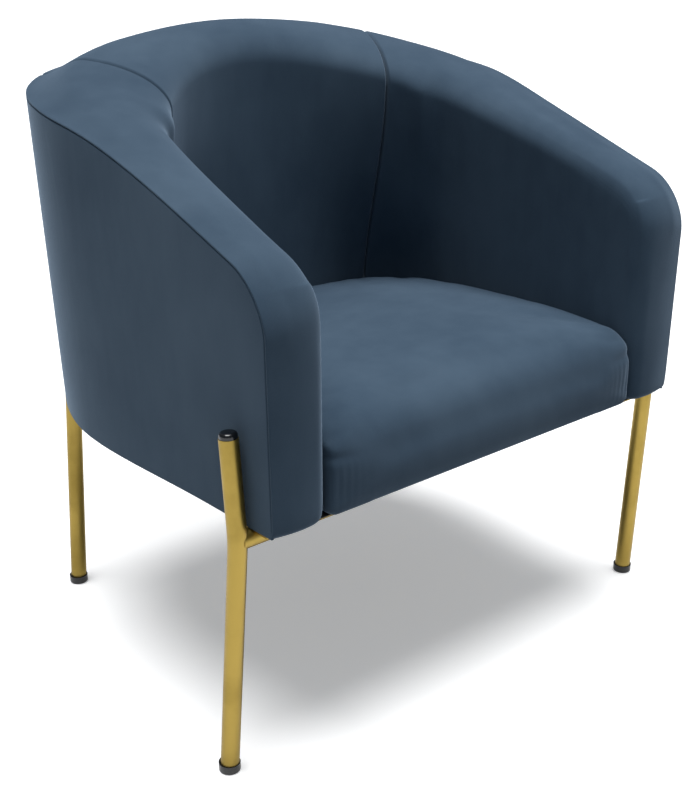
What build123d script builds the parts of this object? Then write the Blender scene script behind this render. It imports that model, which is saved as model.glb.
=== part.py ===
from build123d import *
import math
import os

# An upholstered tub armchair on a base of bent round tube.
# Millimetres, +Z up. The chair faces -Y, and the sitter's left is at +X.
# The origin is on the floor, midway between front and back.

# ---- Driving dimensions -------------------------------------------------

# Shell: the arms and back, a wall that goes round three sides of the seat.
half_width = 335.0          # outside face of an arm
front_y = -290.0            # front face of the arms
rear_y = 295.0              # outside face of the back
rear_corner_x = 150.0       # the rear corner is a quarter ellipse in plan
rear_corner_y = 230.0
underside_z = 316.0         # lower edge of the body
arm_thickness = 80.0
back_thickness = 104.0      # at the seat, on the middle line
inner_corner_x = 110.0
inner_corner_y = 120.0
seam_angle = 63.0           # where an arm meets the back, round the rear corner

# Top line of the shell, seen from the side, then from the front.
arm_front_z = underside_z + 276.0    # where the top line would meet the arm's front face
arm_front_radius = 55.0
arm_mid_z = underside_z + 371.0      # top of the arm at the origin's plane
arm_rear_y = rear_y - 177.0          # where the arm starts to rise into the back
arm_rear_z = underside_z + 394.0
back_top_z = underside_z + 462.0
arm_rise_radius = 160.0
back_roll_y = rear_y - 63.0          # where the top of the back levels out
back_roll_radius = 70.0
crown_x = half_width - 135.0         # half width of the back's nearly level top
crown_drop = 10.0           # fall of the back's top from the middle to there
shoulder_drop = 58.0        # and from the middle to the outside of the arm
shoulder_bulge = 8.0

# Layers of the wall, from the outside in.
outer_cover_thickness = 3.0
board_thickness = 3.0
timber_thickness = 22.0
skin_thickness = 2.0        # velvet and wadding over the foam
strap_thickness = 1.5
clearance = 0.3             # soft piece to its neighbour
dust_cover_thickness = 1.0

# Shell timber.
rail_height = 50.0
top_rail_height = 40.0
post_width = 30.0
front_post_y = front_y + 18.0
rear_post_y = rear_y - rear_corner_y - 5.0
top_padding = 24.0          # foam over the top rails
corner_rail_top_z = arm_rear_z - 38.0
back_rail_top_z = back_top_z - 40.0
back_post_x = half_width - rear_corner_x + 2.0

# Seat.
seat_front_y = front_y - 6.0
seat_front_z = underside_z + 69.0    # where the front roll starts
seat_roll = 40.0
seat_crown_z = underside_z + 112.0
seat_crown_y = front_y + 140.0
seat_rear_z = underside_z + 88.0
seat_frame_half_width = half_width - arm_thickness - 15.0
seat_frame_front_y = seat_front_y + 19.0
seat_frame_rear_y = rear_y - back_thickness - 57.0
seat_frame_corner = 24.0
seat_rail_height = 60.0
strap_width = 50.0
block_leg = 55.0
block_height = 40.0

# Base.
tube_diameter = 22.0
tube_wall = 1.5
tube_gap = 0.3              # tube to the body beside or above it
front_foot = (half_width + 22.0, front_y + 62.0)
front_bend_y = front_y + 44.0
front_stub_lean = (1.5, 8.0)
rear_foot = (half_width - 55.0, rear_y - 29.0)
rear_leg_angle = 66.0       # place of the rear leg round the rear corner
stub_top_z = underside_z + 108.0
bend_radius = 260.0
side_tube_x = seat_frame_half_width - 25.0
tube_end_z = 3.0            # floor to the lower end of a leg
tube_end_trim = 2.0         # a cross tube stops this short of the legs' centre lines
foot_cap_diameter = 25.6
foot_cap_height = 11.0
top_cap_height = 7.0
top_cap_rim = 0.6           # how far the plug stays inside the tube's edge
plug_length = 14.0
plate_thickness = 3.0
screw_diameter = 5.0
screw_head_diameter = 10.0
screw_head_height = 2.5
screw_length = 28.0

# ---- Sizes that follow ---------------------------------------------------

FAR = 1000.0                # larger than the chair, for cutting bodies
timber_in = outer_cover_thickness + board_thickness
inner_rear_y = rear_y - back_thickness     # front face of the back
timber_out = timber_in + timber_thickness
cavity_in = timber_out + board_thickness + clearance
wall_bottom_z = underside_z + dust_cover_thickness

# Each plate spans from inside the side tube to under the wall's timber. Its screws go up into
# the seat frame, near the middle of the chair, and into the wall's lower rails.
plate_inner_x = side_tube_x - 25.0
plate_outer_x = half_width - timber_in
front_plate = (plate_inner_x, plate_outer_x, front_y + 15.0, front_y + 73.0)
rear_plate = (plate_inner_x, plate_outer_x - 4.0, seat_frame_rear_y - 49.0, seat_frame_rear_y + 6.0)
seat_screw_x = seat_frame_half_width - 7.0
wall_screw_x = half_width - timber_in - 11.0
front_screws = [
    (seat_screw_x, front_y + 24.0),
    (wall_screw_x, front_y + 26.0),
    (seat_screw_x, front_y + 64.0),
    (wall_screw_x, front_y + 64.0),
]
rear_screws = [
    (seat_screw_x, seat_frame_rear_y - 42.0),
    (seat_screw_x, seat_frame_rear_y - 28.0),
    (wall_screw_x - 2.0, seat_frame_rear_y - 34.0),
    (wall_screw_x - 4.0, seat_frame_rear_y - 10.0),
]
tube_radius = tube_diameter / 2
tube_z = underside_z - tube_radius - tube_gap
inner_x = half_width - arm_thickness
deck_z = wall_bottom_z + seat_rail_height
plate_z = underside_z - plate_thickness
foot_cap_radius = foot_cap_diameter / 2


def box(x0, x1, y0, y1, z0, z1):
    """A block between two corners."""
    size = Box(x1 - x0, y1 - y0, z1 - z0)
    return Pos((x0 + x1) / 2, (y0 + y1) / 2, (z0 + z1) / 2) * size


def prism(face, z0, z1):
    """A plan outline raised between two heights."""
    return Pos(0, 0, z0) * extrude(face, z1 - z0)


def half_side(shape):
    """The same piece on the other side of the chair."""
    return mirror(shape, about=Plane.YZ)


def tub_outline(side, rear, corner_x, corner_y, front):
    """Plan outline open to no side: straight front and sides, elliptical rear corners."""
    turn_y = rear - corner_y
    flat_x = side - corner_x
    left = EllipticalCenterArc((flat_x, turn_y), corner_x, corner_y, start_angle=0, arc_size=90)
    right = EllipticalCenterArc((-flat_x, turn_y), corner_x, corner_y, start_angle=90, arc_size=90)
    sides = [
        Line((-side, front), (side, front)),
        Line((side, front), (side, turn_y)),
        left,
        Line((flat_x, rear), (-flat_x, rear)),
        right,
        Line((-side, turn_y), (-side, front)),
    ]
    return make_face(Wire(sides))


def shell_outline(inset, front=front_y):
    """The outside of the shell, or a layer that lies inset inside it."""
    return tub_outline(
        half_width - inset,
        rear_y - inset,
        rear_corner_x - inset,
        rear_corner_y - inset,
        front,
    )


def seat_space(shrink, front=-FAR):
    """The inside of the shell in plan, or a smaller outline shrink inside it."""
    return tub_outline(
        inner_x - shrink,
        inner_rear_y - shrink,
        inner_corner_x - shrink,
        inner_corner_y - shrink,
        front,
    )


def band(outer, inner, z0, z1, front=front_y):
    """One layer of the wall, between two insets and two heights."""
    return prism(shell_outline(outer, front) - shell_outline(inner, front - 1), z0, z1)


def arm_line_z(y):
    """Height of the arm's top line: a shallow curve through its three heights."""
    span = arm_rear_y - front_y
    chord = arm_front_z + (arm_rear_z - arm_front_z) * (y - front_y) / span
    chord_at_origin = arm_front_z - (arm_rear_z - arm_front_z) * front_y / span
    bow = (arm_mid_z - chord_at_origin) / (-front_y * arm_rear_y)
    return chord + bow * (y - front_y) * (arm_rear_y - y)


def corner_of(face, y, z):
    """The corner of a side view nearest a point."""
    return face.vertices().sort_by_distance((y, z, 0))[0]


def top_limit(drop=0.0, front_inset=0.0):
    """Everything under the shell's top surface lowered by drop."""
    y0 = front_y + front_inset
    y_mid = (y0 + arm_rear_y) / 2
    front_z = arm_line_z(y0) - drop
    rear_z = arm_rear_z - drop
    back_z = back_top_z - drop
    side = make_face(Wire([
        Line((y0, 0), (y0, front_z)),
        ThreePointArc((y0, front_z), (y_mid, arm_line_z(y_mid) - drop), (arm_rear_y, rear_z)),
        Line((arm_rear_y, rear_z), (back_roll_y, back_z)),
        Line((back_roll_y, back_z), (FAR, back_z)),
        Line((FAR, back_z), (FAR, 0)),
        Line((FAR, 0), (y0, 0)),
    ]))
    side = fillet(corner_of(side, y0, front_z), arm_front_radius)
    side = fillet(corner_of(side, arm_rear_y, rear_z), arm_rise_radius)
    side = fillet(corner_of(side, back_roll_y, back_z), back_roll_radius)
    side_body = extrude(Plane.YZ * side, FAR, both=True)
    crown_edge_z = back_z - crown_drop
    edge_z = back_z - shoulder_drop
    edge_x = half_width + 1
    shoulder_x = (crown_x + half_width) / 2
    shoulder_z = (crown_edge_z + edge_z) / 2 + shoulder_bulge
    front = make_face(Wire([
        ThreePointArc((-crown_x, crown_edge_z), (0, back_z), (crown_x, crown_edge_z)),
        ThreePointArc((crown_x, crown_edge_z), (shoulder_x, shoulder_z), (edge_x, edge_z)),
        Line((edge_x, edge_z), (edge_x, 0)),
        Line((edge_x, 0), (-edge_x, 0)),
        Line((-edge_x, 0), (-edge_x, edge_z)),
        ThreePointArc((-edge_x, edge_z), (-shoulder_x, shoulder_z), (-crown_x, crown_edge_z)),
    ]))
    front_body = extrude(Plane.XZ * front, FAR, both=True)
    return side_body & front_body

def on_ellipse(flat_x, turn_y, radius_x, radius_y, angle):
    """A point on a quarter-ellipse corner, in plan."""
    a = math.radians(angle)
    return flat_x + radius_x * math.cos(a), turn_y + radius_y * math.sin(a)


top = top_limit()
under_skin = top_limit(skin_thickness, skin_thickness)
under_rails = top_limit(top_padding - clearance, front_post_y - clearance - front_y)
rail_tops = top_limit(top_padding, front_post_y - front_y)

# The arm meets the back on an upright plane, square across the rear corner.
seam_outer = on_ellipse(
    half_width - rear_corner_x, rear_y - rear_corner_y, rear_corner_x, rear_corner_y, seam_angle
)
seam_inner = on_ellipse(
    inner_x - inner_corner_x, inner_rear_y - inner_corner_y, inner_corner_x, inner_corner_y, seam_angle
)


def behind_seam(gap):
    """Everything between the two seam planes, moved gap towards the arms."""
    run_x = seam_outer[0] - seam_inner[0]
    run_y = seam_outer[1] - seam_inner[1]
    shift = gap * math.hypot(run_x, run_y) / run_y
    near_x = seam_inner[0] - run_x * seam_inner[1] / run_y + shift
    far_x = near_x + run_x * FAR / run_y
    corners = [(-near_x, 0), (near_x, 0), (far_x, FAR), (-far_x, FAR)]
    return prism(make_face(Polyline(*corners, close=True)), 0, FAR)


back_middle = behind_seam(-clearance / 2)
arm_side = box(0, FAR, -FAR, FAR, 0, FAR) - behind_seam(clearance / 2)

# ---- Wall padding --------------------------------------------------------

shell_wall = shell_outline(timber_in) - seat_space(0)
shell_foam = shell_outline(timber_in) - seat_space(-skin_thickness)
cavity_front = front_post_y - clearance
wall_cavity = band(timber_in - clearance, cavity_in, 0, FAR, cavity_front) & under_rails
wall_cavity -= box(-FAR, FAR, -FAR, cavity_front, 0, FAR)


def padded_wall(side_of_seam):
    """Foam and its velvet skin for one arm or for the back."""
    whole = prism(shell_wall, wall_bottom_z, FAR) & top & side_of_seam
    foam = prism(shell_foam, wall_bottom_z, FAR) & under_skin & side_of_seam
    skin = whole - foam
    return foam - wall_cavity, skin - wall_cavity


arm_foam, arm_cover = padded_wall(arm_side)
back_foam, back_cover = padded_wall(back_middle)

# ---- Outside of the shell: board and velvet ------------------------------

covers = band(0, outer_cover_thickness, underside_z, FAR) & top
boards = band(outer_cover_thickness, timber_in, wall_bottom_z, FAR) & top
side_cover = covers & arm_side
side_board = boards & arm_side
back_outer_cover = covers & back_middle
back_board = boards & back_middle

# ---- Shell timber --------------------------------------------------------


def timber(z0, z1, y0, y1, x0, x1):
    """A piece of the wall's timber layer, cut from the ring by a block."""
    ring = band(timber_in, timber_out, z0, z1, front_y)
    return ring & box(x0, x1, y0, y1, z0, z1)


front_post_back = front_post_y + post_width
rear_post_back = rear_post_y + post_width
below_arm_rail = top_limit(top_padding + top_rail_height, front_post_y - front_y)
lower_z = wall_bottom_z + rail_height

arm_front_post = timber(wall_bottom_z, FAR, front_post_y, front_post_back, 0, FAR) & below_arm_rail
arm_top_rail = timber(wall_bottom_z, FAR, front_post_y, rear_post_y, 0, FAR) & rail_tops
arm_top_rail -= below_arm_rail
arm_lower_rail = timber(wall_bottom_z, lower_z, front_post_back, rear_post_y, 0, FAR)
arm_rear_post = timber(wall_bottom_z, corner_rail_top_z, rear_post_y, rear_post_back, 0, FAR)
corner_rail_lower = timber(wall_bottom_z, lower_z, rear_post_back, FAR, back_post_x, FAR)
corner_rail_upper = timber(
    corner_rail_top_z - top_rail_height, corner_rail_top_z, rear_post_back, FAR, back_post_x, FAR
)
back_post = timber(
    wall_bottom_z, back_rail_top_z, 0, FAR, back_post_x - post_width, back_post_x
)
rail_end_x = back_post_x - post_width
back_lower_rail = timber(wall_bottom_z, lower_z, 0, FAR, -rail_end_x, rail_end_x)
back_top_rail = timber(
    back_rail_top_z - top_rail_height, back_rail_top_z, 0, FAR, -rail_end_x, rail_end_x
)

# Hardboard behind the arm foam, and straps behind the back foam.
inner_board = band(timber_out, timber_out + board_thickness, wall_bottom_z, FAR, front_post_y)
arm_inner_board = inner_board & rail_tops & arm_side & box(0, FAR, front_post_y, FAR, 0, FAR)
arm_inner_board &= box(-FAR, FAR, -FAR, FAR, 0, corner_rail_top_z)
strap_y = rear_y - timber_out
back_webbing = Compound([
    box(x - strap_width / 2, x + strap_width / 2, strap_y - strap_thickness, strap_y,
        wall_bottom_z + 5, back_rail_top_z - 5)
    for x in (-120, -40, 40, 120)
])

# ---- Seat ----------------------------------------------------------------

seat_frame_outline = tub_outline(
    seat_frame_half_width, seat_frame_rear_y, seat_frame_corner, seat_frame_corner, seat_frame_front_y
)
seat_ring = prism(seat_frame_outline, wall_bottom_z, deck_z)
inner_side_x = seat_frame_half_width - timber_thickness
front_rail_back = seat_frame_front_y + timber_thickness
rear_rail_front = seat_frame_rear_y - timber_thickness
seat_rail_front = seat_ring & box(-FAR, FAR, -FAR, front_rail_back, 0, FAR)
seat_rail_left = seat_ring & box(inner_side_x, FAR, front_rail_back, FAR, 0, FAR)
seat_rail_rear = seat_ring & box(-inner_side_x, inner_side_x, rear_rail_front, FAR, 0, FAR)


def corner_block(x, y, x_way, y_way):
    """A triangular block glued in one corner of the seat frame."""
    corners = [(x, y), (x + x_way * block_leg, y), (x, y + y_way * block_leg)]
    return prism(make_face(Polyline(*corners, close=True)), deck_z - block_height, deck_z - 2)


corner_blocks = Compound([
    corner_block(x_way * inner_side_x, y, -x_way, y_way)
    for x_way in (-1, 1)
    for y, y_way in ((front_rail_back, 1), (rear_rail_front, -1))
])

lengthwise_top = deck_z + strap_thickness
crosswise_top = lengthwise_top + strap_thickness
webbing_lengthwise = Compound([
    box(x - strap_width / 2, x + strap_width / 2, seat_frame_front_y + 3, seat_frame_rear_y - 3,
        deck_z, lengthwise_top)
    for x in (-150, -75, 0, 75, 150)
])
webbing_crosswise = Compound([
    box(-seat_frame_half_width + 3, seat_frame_half_width - 3, y - strap_width / 2, y + strap_width / 2,
        lengthwise_top, crosswise_top)
    for y in (-215, -140, -65, 10, 85)
])


def seat_block(skin):
    """The seat pad, skin inside its outer faces: a rolled front edge and a low crown."""
    y0 = seat_front_y + skin
    z_roll = seat_front_z
    k = seat_roll * (1 - math.sqrt(0.5))
    z_top = z_roll + seat_roll - skin
    y_top = y0 + seat_roll
    y_end = inner_rear_y
    z_end = seat_rear_z - skin
    outline = Wire([
        Line((y0, wall_bottom_z), (y0, z_roll - skin)),
        ThreePointArc((y0, z_roll - skin), (y0 + k, z_top - k), (y_top, z_top)),
        ThreePointArc((y_top, z_top), (seat_crown_y, seat_crown_z - skin), (y_end, z_end)),
        Line((y_end, z_end), (y_end, wall_bottom_z)),
        Line((y_end, wall_bottom_z), (y0, wall_bottom_z)),
    ])
    length = extrude(Plane.YZ * make_face(outline), FAR, both=True)
    return length & prism(seat_space(clearance + skin), 0, FAR)


frame_room = tub_outline(
    seat_frame_half_width + clearance, seat_frame_rear_y + clearance,
    seat_frame_corner, seat_frame_corner, seat_frame_front_y - clearance,
)
seat_cavity = prism(frame_room, 0, crosswise_top + clearance)
seat_inside = seat_block(skin_thickness)
seat_cover = seat_block(0) - seat_inside
seat_foam = seat_inside - seat_cavity

# ---- Base ----------------------------------------------------------------


def rear_corner_point(angle, out):
    """A point out beyond the shell's rear corner, in plan."""
    x, y = on_ellipse(
        half_width - rear_corner_x, rear_y - rear_corner_y, rear_corner_x, rear_corner_y, angle
    )
    a = math.radians(angle)
    normal = Vector(math.cos(a) / rear_corner_x, math.sin(a) / rear_corner_y, 0).normalized()
    return x + out * normal.X, y + out * normal.Y


def leg_path(foot, bend, lean):
    """Centre line of a leg: up from the foot, bent at the cross tube, up beside the body."""
    fall = 20 / tube_z
    below = (
        foot[0] + (foot[0] - bend[0]) * fall,
        foot[1] + (foot[1] - bend[1]) * fall,
        -20,
    )
    return FilletPolyline(
        below,
        (bend[0], bend[1], tube_z),
        (bend[0] + lean[0], bend[1] + lean[1], stub_top_z),
        radius=bend_radius,
    )


def leg_pieces(foot, bend, lean):
    """A leg's solid envelope, the bent tube, its foot cap and its plug."""
    path = leg_path(foot, bend, lean)
    start = Plane(origin=path @ 0, z_dir=path % 0)
    floor = box(-FAR, FAR, -FAR, FAR, -FAR, tube_end_z)
    envelope = sweep(start * Circle(tube_radius), path=path) - floor
    bore = sweep(start * Circle(tube_radius - tube_wall), path=path)
    tube = envelope - bore
    cap = Pos(foot[0], foot[1], foot_cap_height / 2) * Cylinder(foot_cap_radius, foot_cap_height)
    rim = cap.edges().group_by(Axis.Z)[0]
    cap = fillet(rim, 2.0) - envelope
    end = Plane(origin=path @ 1, z_dir=path % 1)
    button_radius = tube_radius - top_cap_rim
    button = end * Pos(0, 0, top_cap_height / 2) * Cylinder(button_radius, top_cap_height)
    button = fillet(button.edges().sort_by(Axis.Z)[-1], 4.0)
    stem_radius = tube_radius - tube_wall - clearance
    stem = end * Pos(0, 0, -plug_length / 2) * Cylinder(stem_radius, plug_length)
    return envelope, tube, cap, button + stem


front_bend = (half_width + tube_radius + tube_gap, front_bend_y)
rear_bend = rear_corner_point(rear_leg_angle, tube_radius + tube_gap)
front_leg = leg_pieces(front_foot, front_bend, front_stub_lean)
rear_leg = leg_pieces(rear_foot, rear_bend, (0, 0))


def tube_between(start, end):
    """A straight tube and its solid envelope."""
    path = Line(start, end)
    plane = Plane(origin=path @ 0, z_dir=path % 0)
    envelope = extrude(plane * Circle(tube_radius), path.length)
    bore = extrude(plane * Circle(tube_radius - tube_wall), path.length)
    return envelope, envelope - bore


def longest(shape):
    """The tube itself, without the slivers that shaping its ends leaves."""
    return shape.solids().sort_by(SortBy.VOLUME)[-1]


def cross_tube(bend, leg):
    """A tube from leg to leg, its ends shaped to the legs."""
    x = bend[0] - tube_end_trim
    envelope, tube = tube_between((-x, bend[1], tube_z), (x, bend[1], tube_z))
    legs = leg[0] + half_side(leg[0])
    return longest(envelope - legs), longest(tube - legs)


front_cross_solid, front_cross_tube = cross_tube(front_bend, front_leg)
rear_cross_solid, rear_cross_tube = cross_tube(rear_bend, rear_leg)
side_tube_solid, side_tube = tube_between(
    (side_tube_x, front_bend[1], tube_z), (side_tube_x, rear_bend[1], tube_z)
)
cross_solids = front_cross_solid + rear_cross_solid
side_tube -= cross_solids
side_tube_solid -= cross_solids

screw_places = front_screws + rear_screws
hole_radius = screw_diameter / 2 + clearance
holes = [
    Pos(x, y, underside_z) * Cylinder(hole_radius, 4 * screw_length)
    for x, y in screw_places
]
left_holes = holes[0].fuse(*holes[1:])
right_holes = half_side(left_holes)
all_holes = left_holes + right_holes


def base_plate(limits):
    """A flat plate welded on the tubes, drilled for its screws."""
    x0, x1, y0, y1 = limits
    plate = box(x0, x1, y0, y1, plate_z, underside_z)
    return plate - cross_solids - side_tube_solid - left_holes


def screw(x, y):
    """A round-head wood screw driven up through a plate."""
    head = Pos(x, y, plate_z - screw_head_height / 2) * Cylinder(screw_head_diameter / 2, screw_head_height)
    shank = Pos(x, y, plate_z + screw_length / 2) * Cylinder(screw_diameter / 2, screw_length)
    return head + shank


left_plates = [base_plate(front_plate), base_plate(rear_plate)]
left_screws = [screw(x, y) for x, y in screw_places]


def both_sides(shapes):
    """A group of like solids on both sides of the chair."""
    solids = [solid for shape in shapes for solid in shape.solids()]
    return Compound(solids + [half_side(solid) for solid in solids])


dust_outline = shell_outline(outer_cover_thickness, front_y + 3)
dust_cover = prism(dust_outline, underside_z, wall_bottom_z) - all_holes

# ---- Export --------------------------------------------------------------

middle = {
    "seat_rail_front": seat_rail_front - all_holes,
    "seat_rail_rear": seat_rail_rear,
    "front_cross_tube": front_cross_tube,
    "rear_cross_tube": rear_cross_tube,
    "base_plates": both_sides(left_plates),
    "base_screws": both_sides(left_screws),
    "leg_top_caps": both_sides([front_leg[3], rear_leg[3]]),
    "foot_caps": both_sides([front_leg[2], rear_leg[2]]),
    "corner_blocks": corner_blocks,
    "webbing_lengthwise": webbing_lengthwise,
    "webbing_crosswise": webbing_crosswise,
    "seat_foam": seat_foam,
    "seat_cover": seat_cover,
    "back_foam": back_foam,
    "back_cover": back_cover,
    "back_board": back_board,
    "back_outer_cover": back_outer_cover,
    "back_lower_rail": back_lower_rail,
    "back_top_rail": back_top_rail,
    "back_webbing": back_webbing,
    "dust_cover": dust_cover,
}
paired = {
    "front_leg": front_leg[1],
    "rear_leg": rear_leg[1],
    "side_tube": side_tube,
    "seat_rail": seat_rail_left - left_holes,
    "arm_front_post": arm_front_post - left_holes,
    "arm_lower_rail": arm_lower_rail - left_holes,
    "arm_top_rail": arm_top_rail,
    "arm_rear_post": arm_rear_post,
    "corner_rail_lower": corner_rail_lower - left_holes,
    "corner_rail_upper": corner_rail_upper,
    "back_post": back_post,
    "arm_inner_board": arm_inner_board,
    "arm_foam": arm_foam,
    "arm_cover": arm_cover,
    "side_board": side_board,
    "side_cover": side_cover,
}

os.makedirs("parts", exist_ok=True)
for name, shape in middle.items():
    export_step(shape, f"parts/{name}.step")
for name, shape in paired.items():
    export_step(shape, f"parts/{name}_left.step")
    export_step(half_side(shape), f"parts/{name}_right.step")
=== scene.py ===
from math import cos, exp, hypot, pi, radians, sin

import bmesh
import bpy
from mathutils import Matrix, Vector


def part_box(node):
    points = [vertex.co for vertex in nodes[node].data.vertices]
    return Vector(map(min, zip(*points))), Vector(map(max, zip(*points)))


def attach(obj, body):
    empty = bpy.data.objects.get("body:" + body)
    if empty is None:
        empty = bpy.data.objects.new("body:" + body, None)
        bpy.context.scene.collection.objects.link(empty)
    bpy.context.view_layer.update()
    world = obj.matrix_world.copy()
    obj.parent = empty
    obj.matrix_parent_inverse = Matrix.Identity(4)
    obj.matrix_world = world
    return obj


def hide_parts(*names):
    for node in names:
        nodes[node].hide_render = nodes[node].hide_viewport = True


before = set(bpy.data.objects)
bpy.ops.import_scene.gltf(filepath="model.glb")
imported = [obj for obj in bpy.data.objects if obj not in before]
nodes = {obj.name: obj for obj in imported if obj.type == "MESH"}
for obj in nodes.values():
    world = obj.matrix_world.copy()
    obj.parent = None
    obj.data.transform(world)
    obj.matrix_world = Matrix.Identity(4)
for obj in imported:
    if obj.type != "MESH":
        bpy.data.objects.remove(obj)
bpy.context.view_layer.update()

# ---- Arms ------------------------------------------------------------------------------------
# Each arm is a timber panel padded with foam and covered in velvet. One length of velvet starts at
# the outer seam, rolls over the top, down the front and over the inside to the seat rails.

# A short slate-blue pile. It darkens and lightens with the way the nap was last brushed, and its
# upright fibres catch light along every edge.
velvet_dark = (0.023, 0.043, 0.069, 1)
velvet_light = (0.052, 0.083, 0.119, 1)
velvet_sheen = (0.52, 0.68, 0.87, 1)
velvet_brushing = 0.75

# The tub's plan. A corner holds its centre's x and y and its reach across and along. Runs are
# measured round the tub from the front of an arm: side, corner, then the middle of the back.
half_width = 0.335
front_y = -0.290
underside_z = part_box("arm_foam_left")[0][2]
side_run = 0.355
corner_run = 0.300
middle = 0.840
joint = 0.565
outer_corner = (0.185, 0.065, 0.150, 0.230)
inner_corner = (0.145, 0.071, 0.110, 0.120)
inner_x = 0.255

# Curves along the tub, each a few (distance run, size) points. Past the middle they mirror.
seam_height = [(0, 0.592), (0.290, 0.687), (0.400, 0.710), (0.565, 0.728)]
seam_height += [(0.700, 0.740), (0.840, 0.745), (0.980, 0.740)]
crown_rise = [(0, 0.005), (0.290, 0.006), (0.455, 0.015), (0.565, 0.023)]
crown_rise += [(0.700, 0.030), (0.840, 0.033), (0.980, 0.030)]
side_bow = [(0, -0.004), (0.130, 0), (0.320, 0.0105), (0.450, 0.002), (0.565, 0), (0.840, 0)]
top_flare = [(0, 0), (0.230, 0.001), (0.450, 0.016), (0.565, 0.014)]
top_flare += [(0.655, 0.009), (0.840, 0.014), (1.025, 0.009)]
roll_radius = [(0, 0.028), (0.290, 0.034), (0.450, 0.050), (0.565, 0.056)]
roll_radius += [(0.840, 0.052), (1.115, 0.056)]
top_edge_x = [(0, 0.255), (0.090, 0.2555), (0.323, 0.226), (0.440, 0.199), (0.565, 0.177)]
top_edge_x += [(0.655, 0.124), (0.748, 0.064), (0.840, 0), (0.932, -0.064)]
top_edge_y = [(0, -0.290), (0.090, -0.198), (0.323, 0.033), (0.440, 0.068), (0.565, 0.108)]
top_edge_y += [(0.655, 0.156), (0.748, 0.187), (0.840, 0.197), (0.932, 0.187)]
lean_low, lean_high = 0.36, 0.70

# The pads' section: rows across and down the cover, its rolls, lip, groove and joints.
pad_width = 0.080
crown_reach = 0.35
even_depth = 0.060
front_radius = 0.055
roll_front = 0.020
lip = 0.0028
lip_radius = 0.0013
groove = 0.0044
joint_roll = 0.007
joint_dip = 0.0035
joint_gap = 0.0005
joint_rows = 0.012
joint_pitch = 0.0016
front_swell = 0.005
front_swell_run = 0.05
hem_draw = 0.006
hem_height = 0.010
weld = 0.00002


def through(points, at):
    """The height at one place of a fair curve through a few (place, height) points."""
    at = min(max(at, points[0][0]), points[-1][0])
    last = len(points) - 1
    i = max(j for j in range(last) if points[j][0] <= at)

    def slope(j):
        before, after = points[max(j - 1, 0)], points[min(j + 1, last)]
        return (after[1] - before[1]) / (after[0] - before[0])

    span = points[i + 1][0] - points[i][0]
    t = (at - points[i][0]) / span
    start, end = points[i][1], points[i + 1][1]
    bend = (slope(i) * (1 - t) - slope(i + 1) * t) * span
    return start + (end - start) * t * t * (3 - 2 * t) + t * (1 - t) * bend


def ease(t):
    t = min(max(t, 0), 1)
    return t * t * (3 - 2 * t)


def plan(corner, straight_x, run):
    """A point of the tub's plan, by the distance run round it from the front of the arm."""
    centre_x, centre_y, across, along = corner
    if run < side_run:
        return straight_x, front_y + run / side_run * (centre_y - front_y)
    if run < side_run + corner_run:
        turn = (run - side_run) / corner_run * pi / 2
        return centre_x + across * cos(turn), centre_y + along * sin(turn)
    left = (middle - run) / (middle - side_run - corner_run)
    return centre_x * left, centre_y + along


def tub_point(run, inward, z, side):
    """A point of the upholstery: inward is 0 on the outside of the tub and 1 on the inside."""
    outer_x, outer_y = plan(outer_corner, half_width, run)
    in_x, in_y = plan(inner_corner, inner_x, run)
    gap = hypot(outer_x - in_x, outer_y - in_y)
    rise = (z - underside_z) / (through(seam_height, run) - underside_z)
    push = through(side_bow, run) * (1 - rise) + through(top_flare, run) * rise
    outer_x += (outer_x - in_x) / gap * push
    outer_y += (outer_y - in_y) / gap * push
    lean = ease((z - lean_low) / (lean_high - lean_low))
    if run > 0:
        in_x += (through(top_edge_x, run) - in_x) * lean
        in_y += (through(top_edge_y, run) - in_y) * lean
    x = outer_x + (in_x - outer_x) * inward
    y = outer_y + (in_y - outer_y) * inward
    return Vector((x * side, y, z))


def arc_corner(u, v):
    """Bends the square corner u = v into a quarter circle, keeping its distance from the centre."""
    reach = max(u, v)
    turn = pi / 4 * (v / u if u >= v else 2 - u / v)
    return reach * cos(turn), reach * sin(turn)


def steps(*stops):
    """Places from the first stop on: each pair that follows is a place to reach and the step to it."""
    places = [stops[0]]
    for reach, step in zip(stops[1::2], stops[2::2]):
        count = max(round((reach - places[-1]) / step), 1)
        start = places[-1]
        places += [start + (reach - start) * (i + 1) / count for i in range(count)]
    return places


def new_piece(name):
    piece = bpy.data.objects.new(name, bpy.data.meshes.new(name))
    bpy.context.collection.objects.link(piece)
    return piece


def cut_box(name, rows):
    """A closed box, cut by planes at each place listed along x, y and z."""
    bm = bmesh.new()
    bmesh.ops.create_cube(bm, size=1)
    for vert in bm.verts:
        vert.co = [places[0] if c < 0 else places[-1] for c, places in zip(vert.co, rows)]
    for axis, places in enumerate(rows):
        normal = Vector([float(i == axis) for i in range(3)])
        for place in places[1:-1]:
            geometry = bm.verts[:] + bm.edges[:] + bm.faces[:]
            bmesh.ops.bisect_plane(bm, geom=geometry, plane_co=normal * place, plane_no=normal)
    return new_piece(name), bm


def mirrored(half):
    """Rows over both halves of a piece, from the rows of one half that start at its middle."""
    return [-place for place in half[:0:-1]] + half


def relax(bm, verts, passes):
    for _ in range(passes):
        bmesh.ops.smooth_vert(
            bm, verts=verts, factor=0.5, use_axis_x=True, use_axis_y=True, use_axis_z=True
        )


def round_bottom(point, z_low, draw, height):
    """How far a pad's sides turn in towards its lower edge, as the cover goes under the frame."""
    return draw * max(1 - (point - z_low) / height, 0) ** 2


def close_mesh(piece, bm):
    """Welds the corners, turns the faces outwards and hands the mesh to its piece."""
    bmesh.ops.remove_doubles(bm, verts=bm.verts, dist=weld)
    bmesh.ops.recalc_face_normals(bm, faces=bm.faces)
    bm.to_mesh(piece.data)
    bm.free()


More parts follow.
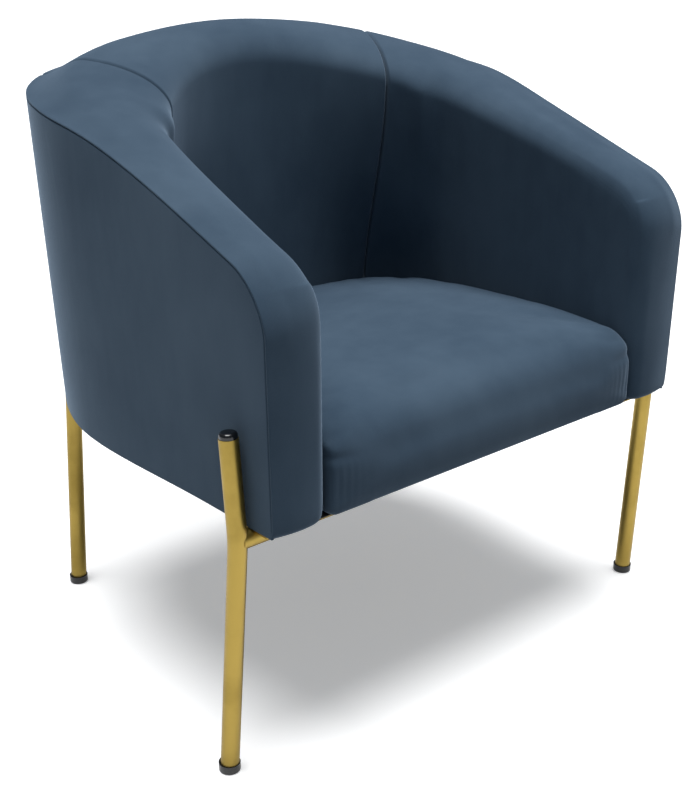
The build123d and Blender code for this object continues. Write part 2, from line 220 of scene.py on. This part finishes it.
def finish_mesh(piece, bm):
    close_mesh(piece, bm)
    for face in piece.data.polygons:
        face.use_smooth = True
    rounding = piece.modifiers.new("fabric_rounding", "SUBSURF")
    rounding.levels = rounding.render_levels = 1


def side_view(along, depth, sink):
    """Rounds the front top corner of the arm, as seen from the side."""
    u, v = front_radius - along, front_radius - depth
    if u <= 0:
        return along, depth + sink
    if v <= 0:
        return along + sink, depth
    u, v = arc_corner(u, v)
    shrink = 1 - sink / max(hypot(u, v), 0.001)
    return front_radius - u * shrink, front_radius - v * shrink


def height_at(run, inward, depth):
    """z of a point that lies depth under the cover's top, or a share of the way down below that."""
    swell = ease(inward / crown_reach)
    top = through(seam_height, run) + through(crown_rise, run) * swell
    if depth <= even_depth:
        return top - depth
    share = depth - even_depth
    return (top - even_depth) * (1 - share) + underside_z * share


def soft_edges(run, across, depth, corner):
    """Rolls a pad's square inner rim and lip. Gives its place across and how far it sinks in."""
    edge = min(run, depth) if corner else depth
    roll = through(roll_radius, run)
    if corner and run < depth:
        roll = roll_front + (roll - roll_front) * run / depth
    sunk, out = edge, across
    u, v = roll - edge, across - (pad_width - roll)
    if u > 0 and v > 0:
        u, v = arc_corner(u, v)
        sunk, out = roll - u, pad_width - roll + v
    elif across < lip_radius and edge < lip_radius:
        u, v = arc_corner(lip_radius - edge, lip_radius - across)
        sunk, out = lip_radius - u, lip_radius - v
    elif across < lip_radius and edge > lip:
        out = across + groove
    elif across < lip_radius and edge > lip - lip_radius:
        u, v = arc_corner(edge - lip + lip_radius, lip_radius - across)
        sunk, out = lip - lip_radius + u, lip_radius - v
    return out, sunk - edge


def at_joint(distance):
    """How far the cover is drawn in beside the joint between an arm and the back."""
    return joint_dip * max(1 - distance / joint_roll, 0) ** 2


across_rows = steps(0, lip_radius, lip_radius / 2, 0.005, 0.002, 0.020, 0.005, pad_width, 0.0046)
depth_rows = steps(
    0, lip_radius, lip_radius / 2, lip, lip_radius / 2, lip + 0.0006, 0.0006, 0.006, 0.003,
    front_radius, 0.0048, even_depth, 0.005, even_depth + 0.97, 0.065, even_depth + 1, 0.015,
)
front_rows = [d for d in depth_rows if d <= front_radius]


def arm_pad(name, side):
    end = joint - joint_gap
    along = front_rows + steps(front_radius, joint - joint_rows, 0.0105, end, joint_pitch)[1:]
    piece, bm = cut_box(name, (along, across_rows, depth_rows))
    front_corner = []
    for vert in bm.verts:
        run, across, depth = vert.co
        if run < 2 * front_radius and depth < 2.5 * front_radius and across > pad_width / 3:
            front_corner.append(vert)
        across, sink = soft_edges(run, across, depth, corner=True)
        dip = at_joint(joint - run)
        swell = front_swell * sin(pi * min(max(across / pad_width, 0), 1))
        swell *= max(1 - run / front_swell_run, 0)
        run, depth = side_view(run, depth, sink)
        if depth < even_depth:
            depth += dip
        inward = (across - dip * (across > pad_width / 2)) / pad_width
        z = height_at(run, inward, depth)
        draw = round_bottom(z, underside_z, hem_draw, hem_height)
        inward -= draw / pad_width * max(inward, 0) ** 4
        vert.co = tub_point(run - swell + draw * max(1 - run / front_radius, 0), inward, z, side)
    relax(bm, front_corner, 20)
    finish_mesh(piece, bm)
    return piece


def add_node(tree, kind, inputs=(), **settings):
    made = tree.nodes.new("ShaderNode" + kind)
    for key, value in settings.items():
        setattr(made, key, value)
    for socket, value in dict(inputs).items():
        if isinstance(value, bpy.types.NodeSocket):
            tree.links.new(value, made.inputs[socket])
        else:
            made.inputs[socket].default_value = value
    return made


def effect_group(name, inputs, outputs):
    """An empty shader group with these named inputs (with their first values) and outputs."""
    tree = bpy.data.node_groups.new(name, "ShaderNodeTree")
    kinds = {tuple: "NodeSocketColor", float: "NodeSocketFloat"}
    for label, value in inputs.items():
        socket = tree.interface.new_socket(label, in_out="INPUT", socket_type=kinds[type(value)])
        socket.default_value = value
    for label, kind in outputs.items():
        tree.interface.new_socket(label, in_out="OUTPUT", socket_type=kinds[kind])
    return tree, tree.nodes.new("NodeGroupInput").outputs, tree.nodes.new("NodeGroupOutput")


def noise(tree, place, scale, detail=2.0, roughness=0.5, stretch=(1, 1, 1)):
    spread = add_node(tree, "Mapping", {"Vector": place, "Scale": stretch}).outputs[0]
    inputs = {"Vector": spread, "Scale": scale, "Detail": detail, "Roughness": roughness}
    return add_node(tree, "TexNoise", inputs).outputs[0]


def maths(tree, operation, a, b):
    return add_node(tree, "Math", {0: a, 1: b}, operation=operation).outputs[0]


def blend_colour(tree, amount, first, second):
    mixed = add_node(tree, "Mix", {0: amount, 6: first, 7: second}, data_type="RGBA")
    return mixed.outputs[2]


def between(tree, value, low, high, to_low=0.0, to_high=1.0):
    inputs = {"Value": value, "From Min": low, "From Max": high, "To Min": to_low, "To Max": to_high}
    return add_node(tree, "MapRange", inputs).outputs[0]


def pile_group():
    tree, given, out = effect_group(
        "velvet_pile",
        {"Dark": (0.1, 0.1, 0.1, 1.0), "Light": (0.2, 0.2, 0.2, 1.0), "Brushing": 1.0, "Pile": 1400.0},
        {"Color": tuple, "Roughness": float, "Height": float},
    )
    place = add_node(tree, "TexCoord").outputs["Object"]
    broad = noise(tree, place, 5.0, 3.0)
    strokes = noise(tree, place, 34.0, 3.0, 0.55, (1, 1, 0.35))
    fibres = noise(tree, place, given["Pile"], 2.0, 0.6)
    brushed = between(tree, strokes, 0.35, 0.65, -0.1, 0.1)
    nap = maths(tree, "ADD", between(tree, broad, 0.3, 0.7, 0.1, 0.9), brushed)
    nap = maths(tree, "MULTIPLY", nap, given["Brushing"])
    speck = maths(tree, "ADD", nap, between(tree, fibres, 0.3, 0.7, -0.14, 0.14))
    tree.links.new(blend_colour(tree, speck, given["Dark"], given["Light"]), out.inputs["Color"])
    tree.links.new(between(tree, speck, 0.0, 1.0, 0.86, 0.72), out.inputs["Roughness"])
    threads = {"Vector": place, "Scale": 260.0, "Distortion": 1.2, "Detail": 1.0}
    weave = add_node(tree, "TexWave", threads)
    height = maths(tree, "ADD", fibres, maths(tree, "MULTIPLY", weave.outputs["Fac"], 0.25))
    height = maths(tree, "ADD", height, maths(tree, "MULTIPLY", strokes, 1.2))
    tree.links.new(height, out.inputs["Height"])
    return tree


pile = pile_group()


def new_material(name, **shader):
    material = bpy.data.materials.new(name)
    material.use_nodes = True
    bsdf = material.node_tree.nodes["Principled BSDF"]
    for socket, value in shader.items():
        bsdf.inputs[socket.replace("_", " ")].default_value = value
    return material, material.node_tree, bsdf


def use_effect(tree, bsdf, group, values, strength, distance):
    """Feeds a shader's colour, roughness and bump from one effect group."""
    effect = add_node(tree, "Group", node_tree=group)
    for socket, value in values.items():
        effect.inputs[socket].default_value = value
    tree.links.new(effect.outputs["Color"], bsdf.inputs["Base Color"])
    tree.links.new(effect.outputs["Roughness"], bsdf.inputs["Roughness"])
    bump = add_node(
        tree, "Bump", {"Strength": strength, "Distance": distance, "Height": effect.outputs["Height"]}
    )
    tree.links.new(bump.outputs[0], bsdf.inputs["Normal"])


def velvet_material():
    material, tree, bsdf = new_material(
        "slate_velvet",
        Sheen_Weight=0.45,
        Sheen_Roughness=0.42,
        Sheen_Tint=velvet_sheen,
        Specular_IOR_Level=0.12,
    )
    values = {"Dark": velvet_dark, "Light": velvet_light, "Brushing": velvet_brushing, "Pile": 1400.0}
    use_effect(tree, bsdf, pile, values, strength=0.25, distance=0.0006)
    return material


velvet = velvet_material()

for name, side in (("right", -1), ("left", 1)):
    arm = arm_pad(f"arm_pad_{name}", side)
    arm.data.materials.append(velvet)
    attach(arm, "root")
    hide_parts(f"arm_foam_{name}", f"arm_cover_{name}")

# ---- Back ------------------------------------------------------------------------------------
# The back pad closes the tub between the arms. Its cover is sewn to theirs along the two joints,
# which run from the seat, over the top roll, to the outer seam.


def back_pad():
    reach = middle - joint - joint_gap
    along = mirrored(steps(0, reach - joint_rows, 0.011, reach, joint_pitch))
    piece, bm = cut_box("back_pad", (along, across_rows, depth_rows))
    for vert in bm.verts:
        place, across, depth = vert.co
        run = middle - abs(place)
        across, sink = soft_edges(run, across, depth, corner=False)
        dip = at_joint(run - joint)
        depth += sink
        if depth < even_depth:
            depth += dip
        inward = (across - dip * (across > pad_width / 2)) / pad_width
        vert.co = tub_point(run, inward, height_at(run, inward, depth), 1 if place > 0 else -1)
    finish_mesh(piece, bm)
    return piece


back = back_pad()
back.data.materials.append(velvet)
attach(back, "root")
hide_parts("back_foam", "back_cover")

# ---- Outside panels --------------------------------------------------------------------------
# A sheet of hardboard closes each side and the back. Velvet over thin wadding is pulled tight on
# it and sewn to the arm and back covers in a narrow groove just under their top edge.
panel_gap = 0.0005
panel_thickness = 0.0038
panel_edge = 0.0014
panel_end_gap = 0.0004
panel_pitch = 0.002
panel_draw = 0.25


def outside_panel(name, along, corner, place):
    start = lip + panel_gap
    down = steps(start, start + panel_edge, panel_edge / 3, 0.008, 0.002, front_radius, 0.0047)
    down += steps(even_depth, even_depth + 0.97, 0.05, even_depth + 1, 0.015)
    thick = steps(0, panel_edge, panel_edge / 3, panel_thickness, 0.0024)
    if corner:
        along = [d for d in down if d <= front_radius] + along
    piece, bm = cut_box(name, (along, thick, down))
    for vert in bm.verts:
        run, across, depth = vert.co
        edge = (min(run, depth) if corner else depth) - start
        sink = 0
        if edge < panel_edge and across < panel_edge:
            u, v = arc_corner(panel_edge - edge, panel_edge - across)
            sink = panel_edge - u - edge
            across = panel_edge - v
        if corner:
            run, depth = side_view(run, depth, sink)
        else:
            depth += sink
        vert.co = place(run, across / pad_width, depth)
    finish_mesh(piece, bm)
    piece.data.materials.append(velvet)
    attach(piece, "root")
    return piece


def side_panel(name, side):
    def place(run, inward, depth):
        drawn_in = panel_draw * at_joint(joint - run) / pad_width
        return tub_point(run, inward + drawn_in, height_at(run, 0, depth), side)

    end = joint - panel_end_gap
    along = steps(front_radius, joint - joint_rows, 0.0105, end, panel_pitch)[1:]
    return outside_panel(name, along, True, place)


def back_panel():
    def place(across, inward, depth):
        run = middle - abs(across)
        drawn_in = panel_draw * at_joint(run - joint) / pad_width
        return tub_point(run, inward + drawn_in, height_at(run, 0, depth), 1 if across > 0 else -1)

    reach = middle - joint - panel_end_gap
    along = mirrored(steps(0, reach - joint_rows, 0.011, reach, panel_pitch))
    return outside_panel("back_panel", along, False, place)


panels = [side_panel("side_panel_right", -1), side_panel("side_panel_left", 1), back_panel()]
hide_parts("side_cover_right", "side_board_right")
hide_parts("side_cover_left", "side_board_left")
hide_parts("back_outer_cover", "back_board")

# ---- Seat ------------------------------------------------------------------------------------
# The seat is a foam block on webbing, covered in velvet that is pulled down between the arms and
# tacked under the front rail, so that it rolls over the front and crowns in the middle.
seat_low, seat_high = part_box("seat_cover")
seat_half = seat_high[0] - 0.0005
seat_front = seat_low[1] + 0.004
seat_bottom = seat_low[2]
seat_line = [(-0.300, 0.421), (-0.150, 0.427), (0, 0.422), (0.100, 0.412), (0.191, 0.404)]
seat_side_drop = [(-0.300, 0), (-0.220, 0.001), (0, 0.008), (0.191, 0.014)]
seat_roll = 0.040
seat_rim = 0.017
seat_front_rim = 0.008
seat_rear_gap = 0.0005
seat_rear_dip = 0.012
seat_rear_dip_reach = 0.030
seat_hem_draw = 0.004
seat_side_hem = 0.020
foam_voxel = 0.006
foam_pressure = 4
foam_swell = 0.006
swell_frames = 20
pinch_height = 0.388
pinch_reach = 0.055
pinch_front = 0.045
pinch_slope = 0.12
pinch_depth = 0.0035
pinch_width = 0.006
pucker_depth = 0.0007
pucker_pitch = 0.0095


def seat_rim_roll(along, depth):
    """Radius of the seat's side edges: small down the front, where the arms press on them."""
    if along >= depth:
        return seat_rim
    return seat_front_rim + (seat_rim - seat_front_rim) * along / depth


def seat_rear_edge(x):
    """y of the inner face of the tub behind the seat."""
    centre_x, centre_y, reach_x, reach_y = inner_corner
    out = min(max((abs(x) - centre_x) / reach_x, 0), 1)
    return centre_y + reach_y * (1 - out**2) ** 0.5 - seat_rear_gap


def seat_blank():
    """The foam block: crowned on top, rolled over at the front, its sides square to the arms."""
    width = mirrored(steps(0, seat_half - 0.020, 0.012, seat_half, 0.004))
    along = steps(0, seat_roll, 0.005, seat_roll + 0.97, 0.035, seat_roll + 1, 0.01)
    down = steps(0, seat_roll, 0.005, seat_roll + 1, 0.1)
    piece, bm = cut_box("seat_pad", (width, along, down))
    for vert in bm.verts:
        x, along, depth = vert.co
        rim, edge, sink = seat_rim_roll(along, depth), min(along, depth), 0
        u, v = rim - edge, abs(x) - (seat_half - rim)
        if u > 0 and v > 0:
            u, v = arc_corner(u, v)
            sink = rim - u - edge
            x = (seat_half - rim + v) * (1 if x > 0 else -1)
        u, v = seat_roll - along, seat_roll - depth
        if u > 0 and v > 0:
            u, v = arc_corner(u, v)
            shrink = 1 - sink / max(hypot(u, v), 0.001)
            along, depth = seat_roll - u * shrink, seat_roll - v * shrink
        elif u <= 0:
            depth += sink
        else:
            along += sink
        rear, start = seat_rear_edge(x), seat_front + seat_roll
        y = seat_front + along if along < seat_roll else start + (rear - start) * (along - seat_roll)
        top = through(seat_line, y) - through(seat_side_drop, y) * (abs(x) / seat_half) ** 3
        top -= seat_rear_dip * max(1 - (rear - y) / seat_rear_dip_reach, 0) ** 2
        share = max(depth - seat_roll, 0)
        z = top - depth if not share else (top - seat_roll) * (1 - share) + seat_bottom * share
        draw = round_bottom(z, seat_bottom, seat_hem_draw, hem_height)
        y += draw * max(1 - along / seat_roll, 0)
        x *= 1 - draw / seat_half * max(1 - (seat_half - abs(x)) / seat_side_hem, 0)
        vert.co = (x, y, z)
    close_mesh(piece, bm)
    return piece


def apply_modifiers(piece):
    """Makes what the modifiers give the piece's own mesh."""
    shown = bpy.context.evaluated_depsgraph_get()
    finished = bpy.data.meshes.new_from_object(piece.evaluated_get(shown), depsgraph=shown)
    piece.modifiers.clear()
    piece.data = finished


def held_places(mesh):
    """Vertices that the tacks, the arms and the back hold still while the foam swells."""
    held = []
    for vert in mesh.vertices:
        x, y, z = vert.co
        beside = abs(x) > seat_half - 0.0015 and y > seat_front + 0.012
        behind = y > seat_rear_edge(x) - 0.004
        if beside or behind or z < seat_bottom + 0.012:
            held.append(vert.index)
    return held


def swell_foam(piece):
    """Blows the cover up against its held edges with a cloth simulation, by at most foam_swell."""
    remesh = piece.modifiers.new("even_mesh", "REMESH")
    remesh.mode = "VOXEL"
    remesh.voxel_size = foam_voxel
    apply_modifiers(piece)
    before = [vert.co.copy() for vert in piece.data.vertices]
    held = piece.vertex_groups.new(name="held")
    held.add(held_places(piece.data), 1, "REPLACE")
    cloth = piece.modifiers.new("velvet_cover", "CLOTH").settings
    cloth.quality = 6
    cloth.mass = 0.4
    cloth.tension_stiffness = cloth.compression_stiffness = 30
    cloth.shear_stiffness = 15
    cloth.bending_stiffness = 1.2
    cloth.vertex_group_mass = "held"
    cloth.use_pressure = True
    cloth.uniform_pressure_force = foam_pressure
    cloth.effector_weights.gravity = 0
    for current in range(1, swell_frames + 1):
        bpy.context.scene.frame_set(current)
    apply_modifiers(piece)
    bpy.context.scene.frame_set(1)
    for vert, start in zip(piece.data.vertices, before):
        moved = vert.co - start
        vert.co = start + moved.normalized() * foam_swell * (1 - exp(-moved.length / foam_swell))


def pinch(co):
    """The crease at each front corner where the cover is folded, and the small puckers below it."""
    inside = seat_half - abs(co.x)
    near = max(1 - inside / pinch_reach, 0) ** 1.5
    front = max(1 - max(co.y - seat_front, 0) / pinch_front, 0)
    above = (co.z - pinch_height + pinch_slope * inside) / pinch_width
    fold = pinch_depth * near * front * exp(-(above**2))
    below = ease((pinch_height - co.z) / 0.02) * ease((co.z - seat_bottom) / 0.03)
    puckers = pucker_depth * near * front * below * sin(inside * 2 * pi / pucker_pitch)
    return fold + puckers


def near_corner(edge):
    return all(abs(v.co.x) > seat_half - 0.06 and v.co.y < seat_front + 0.05 for v in edge.verts)


def seat_pad():
    piece = seat_blank()
    swell_foam(piece)
    bm = bmesh.new()
    bm.from_mesh(piece.data)
    relax(bm, bm.verts, 3)
    corners = [edge for edge in bm.edges if near_corner(edge)]
    bmesh.ops.subdivide_edges(bm, edges=corners, cuts=1, use_grid_fill=True, smooth=1.0)
    bm.normal_update()
    for vert in bm.verts:
        vert.co -= vert.normal * pinch(vert.co)
    finish_mesh(piece, bm)
    return piece


seat = seat_pad()
seat.data.materials.append(velvet)
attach(seat, "root")
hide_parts("seat_foam", "seat_cover")

# ---- Legs and cross tubes --------------------------------------------------------------------
# Round steel tube, bent and welded, then plated in satin brass. Fine brushing runs round it, with
# slightly duller patches where hands and floors touch it.


def plated_group():
    tree, given, out = effect_group(
        "worn_finish",
        {"Color": (0.5, 0.5, 0.5, 1.0), "Worn": (0.4, 0.4, 0.4, 1.0), "Gloss": 0.3, "Grain": 90.0},
        {"Color": tuple, "Roughness": float, "Height": float},
    )
    place = add_node(tree, "TexCoord").outputs["Object"]
    patches = noise(tree, place, 14.0, 4.0, 0.6)
    brushed = noise(tree, place, given["Grain"], 3.0, 0.6, (1, 1, 14))
    worn = between(tree, patches, 0.42, 0.7, 0.0, 1.0)
    tree.links.new(blend_colour(tree, worn, given["Color"], given["Worn"]), out.inputs["Color"])
    rough = maths(tree, "ADD", given["Gloss"], between(tree, patches, 0.3, 0.7, -0.03, 0.08))
    rough = maths(tree, "ADD", rough, between(tree, brushed, 0.3, 0.7, -0.03, 0.03))
    tree.links.new(rough, out.inputs["Roughness"])
    tree.links.new(brushed, out.inputs["Height"])
    return tree


worn_finish = plated_group()


def hard_material(name, colour, worn, gloss, grain, bump, **shader):
    material, tree, bsdf = new_material(name, **shader)
    values = {"Color": colour, "Worn": worn, "Gloss": gloss, "Grain": grain}
    use_effect(tree, bsdf, worn_finish, values, strength=bump, distance=0.0002)
    return material


def dress(material, *names):
    """Gives carried-over nodes of the frame their finish."""
    for name in names:
        mesh = nodes[name].data
        mesh.materials.clear()
        mesh.materials.append(material)


def both(*names):
    return [f"{name}_{side}" for name in names for side in ("left", "right")]


brass_colour = (0.37, 0.262, 0.064, 1)
brass_worn = (0.30, 0.21, 0.048, 1)
brass = hard_material("satin_brass", brass_colour, brass_worn, 0.38, 60.0, 0.08, Metallic=1.0)
dress(brass, *both("front_leg", "rear_leg", "side_tube"), "front_cross_tube", "rear_cross_tube")
dress(brass, "base_plates")

# ---- Caps ------------------------------------------------------------------------------------
# Moulded black plastic: a domed plug in the open top of each leg, a cup under each foot.
plastic_colour = (0.002, 0.002, 0.0025, 1)
plastic_worn = (0.005, 0.005, 0.0055, 1)
plastic_coat = {"Coat_Weight": 0.3, "Coat_Roughness": 0.12}
black_plastic = hard_material(
    "black_plastic", plastic_colour, plastic_worn, 0.20, 220.0, 0.05, **plastic_coat
)
dress(black_plastic, "leg_top_caps", "foot_caps")

# ---- Hidden frame ----------------------------------------------------------------------------
# Sawn pine rails, posts and corner blocks under the foam, with steel screws, jute-and-rubber
# webbing, and hardboard on the inside of each arm.


def grain_group():
    tree, given, out = effect_group(
        "sawn_grain",
        {"Early": (0.5, 0.4, 0.3, 1.0), "Late": (0.3, 0.2, 0.1, 1.0), "Rings": 30.0},
        {"Color": tuple, "Roughness": float, "Height": float},
    )
    place = add_node(tree, "TexCoord").outputs["Object"]
    inputs = {"Vector": place, "Scale": given["Rings"], "Distortion": 6.0}
    inputs |= {"Detail": 3.0, "Detail Scale": 0.6}
    rings = add_node(tree, "TexWave", inputs, bands_direction="DIAGONAL").outputs["Fac"]
    pores = noise(tree, place, 240.0, 3.0, 0.6, (1, 1, 0.2))
    tint = maths(tree, "ADD", rings, between(tree, pores, 0.3, 0.7, -0.2, 0.2))
    tree.links.new(blend_colour(tree, tint, given["Early"], given["Late"]), out.inputs["Color"])
    tree.links.new(between(tree, pores, 0.2, 0.8, 0.6, 0.8), out.inputs["Roughness"])
    tree.links.new(pores, out.inputs["Height"])
    return tree


sawn_grain = grain_group()


def timber_material(name, early, late, rings):
    material, tree, bsdf = new_material(name)
    use_effect(tree, bsdf, sawn_grain, {"Early": early, "Late": late, "Rings": rings}, 0.3, 0.0004)
    return material


pine = timber_material("sawn_pine", (0.52, 0.36, 0.19, 1), (0.34, 0.20, 0.09, 1), 22.0)
rails = both("seat_rail", "arm_front_post", "arm_lower_rail", "arm_top_rail", "arm_rear_post")
rails += both("corner_rail_lower", "corner_rail_upper", "back_post")
rails += ["seat_rail_front", "seat_rail_rear", "corner_blocks", "back_lower_rail", "back_top_rail"]
dress(pine, *rails)
hardboard = timber_material("hardboard", (0.20, 0.11, 0.055, 1), (0.13, 0.07, 0.035, 1), 160.0)
dress(hardboard, *both("arm_inner_board"))
zinc_colour = (0.55, 0.56, 0.58, 1)
zinc_worn = (0.38, 0.39, 0.40, 1)
zinc = hard_material("zinc_steel", zinc_colour, zinc_worn, 0.34, 180.0, 0.1, Metallic=1.0)
dress(zinc, "base_screws")


webbing_dark = (0.10, 0.075, 0.05, 1)
webbing_light = (0.30, 0.23, 0.15, 1)


def webbing_material():
    material, tree, bsdf = new_material("woven_webbing")
    values = {"Dark": webbing_dark, "Light": webbing_light, "Brushing": 1.0, "Pile": 600.0}
    use_effect(tree, bsdf, pile, values, strength=0.6, distance=0.0008)
    return material


dress(webbing_material(), "webbing_lengthwise", "webbing_crosswise", "back_webbing")

# ---- Dust cover ------------------------------------------------------------------------------
# A black non-woven sheet, stapled flat under the whole body to close it against dust.
cover_low, cover_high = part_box("dust_cover")
cover_thickness = cover_high[2] - cover_low[2]
cover_inset = 0.003
front_inset = 0.010
dust_dark = (0.008, 0.008, 0.009, 1)
dust_light = (0.02, 0.02, 0.021, 1)


def dust_sheet():
    bm = bmesh.new()
    runs = steps(0, side_run, 0.07, side_run + corner_run, 0.025, middle, 0.06)
    edge = []
    for side, order in ((1, runs), (-1, runs[-2::-1])):
        for run in order:
            outer = tub_point(run, 0, underside_z, side)
            centre = Vector((0, 0.03, cover_low[2]))
            inset = outer + (centre - outer).normalized() * cover_inset
            y = max(inset.y, front_y + front_inset)
            edge.append(bm.verts.new((inset.x, y, cover_low[2])))
    face = bm.faces.new(edge)
    bmesh.ops.recalc_face_normals(bm, faces=[face])
    raised = bmesh.ops.extrude_face_region(bm, geom=[face])["geom"]
    moved = [v for v in raised if isinstance(v, bmesh.types.BMVert)]
    bmesh.ops.translate(bm, verts=moved, vec=(0, 0, cover_thickness * 0.9))
    area = face.calc_area()
    piece = new_piece("dust_sheet")
    close_mesh(piece, bm)
    return piece, area


def dust_material():
    material, tree, bsdf = new_material("black_nonwoven", Sheen_Weight=0.1)
    values = {"Dark": dust_dark, "Light": dust_light, "Brushing": 1.0, "Pile": 500.0}
    use_effect(tree, bsdf, pile, values, strength=0.4, distance=0.0006)
    return material


dust, dust_area = dust_sheet()
dust.data.materials.append(dust_material())
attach(dust, "root")
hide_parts("dust_cover")

# ---- Floor, light and camera -----------------------------------------------------------------
# A plain pale floor under a broad light from overhead, a lamp above the front of the seat, and a
# faint cool fill from all round. The floor throws less light back up than it shows.
floor_low = (0.90, 0.90, 0.90, 1)
floor_high = (0.93, 0.93, 0.93, 1)
floor_bounce = (0.35, 0.35, 0.35, 1)
floor_glow = 0.31
floor_reach = 20
fill_colour = (0.86, 0.96, 1.10, 1)
fill_strength = 0.20


def floor_material():
    material, tree, bsdf = new_material("pale_floor", Roughness=0.9, Specular_IOR_Level=0.1)
    place = add_node(tree, "TexCoord").outputs["Object"]
    tone = blend_colour(tree, noise(tree, place, 0.8, 2.0), floor_low, floor_high)
    ray = add_node(tree, "LightPath")
    bounced = blend_colour(tree, ray.outputs["Is Diffuse Ray"], tone, floor_bounce)
    tree.links.new(bounced, bsdf.inputs["Base Color"])
    bsdf.inputs["Emission Color"].default_value = (1, 1, 1, 1)
    glow = maths(tree, "MULTIPLY", ray.outputs["Is Camera Ray"], floor_glow)
    tree.links.new(glow, bsdf.inputs["Emission Strength"])
    return material


def floor_plane():
    bm = bmesh.new()
    bmesh.ops.create_grid(bm, x_segments=1, y_segments=1, size=floor_reach)
    plane = new_piece("floor")
    bm.to_mesh(plane.data)
    bm.free()
    plane.data.materials.append(floor_material())


floor_plane()


def soft_light(name, where, aim, size, power):
    lamp = bpy.data.lights.new(name, "AREA")
    lamp.shape = "DISK"
    lamp.size = size
    lamp.energy = power
    light = bpy.data.objects.new(name, lamp)
    light.location = where
    light.rotation_euler = (Vector(aim) - Vector(where)).to_track_quat("-Z", "Y").to_euler()
    bpy.context.collection.objects.link(light)


soft_light("front", (0.60, -0.60, 2.4), (0, 0.15, 0.5), 0.9, 21)

sun = bpy.data.lights.new("overhead", "SUN")
sun.energy = 3.6
sun.angle = radians(40)
overhead = bpy.data.objects.new("overhead", sun)
overhead.rotation_euler = Vector((-0.10, 0.02, 1.0)).to_track_quat("Z", "Y").to_euler()
bpy.context.collection.objects.link(overhead)

world = bpy.data.worlds.new("studio")
world.use_nodes = True
world.node_tree.nodes["Background"].inputs["Color"].default_value = fill_colour
world.node_tree.nodes["Background"].inputs["Strength"].default_value = fill_strength
bpy.context.scene.world = world
bpy.context.scene.view_settings.view_transform = "Standard"

target = Vector((0, -0.021, 0.3114))
azimuth, elevation, distance = radians(-40.068), radians(22.40), 1.7398
away = Vector((sin(azimuth) * cos(elevation), -cos(azimuth) * cos(elevation), sin(elevation)))
camera = bpy.data.objects.new("camera", bpy.data.cameras.new("camera"))
camera.location = target + away * distance
camera.rotation_euler = away.to_track_quat("Z", "Y").to_euler()
camera.data.lens = 58.6
bpy.context.collection.objects.link(camera)
bpy.context.scene.camera = camera
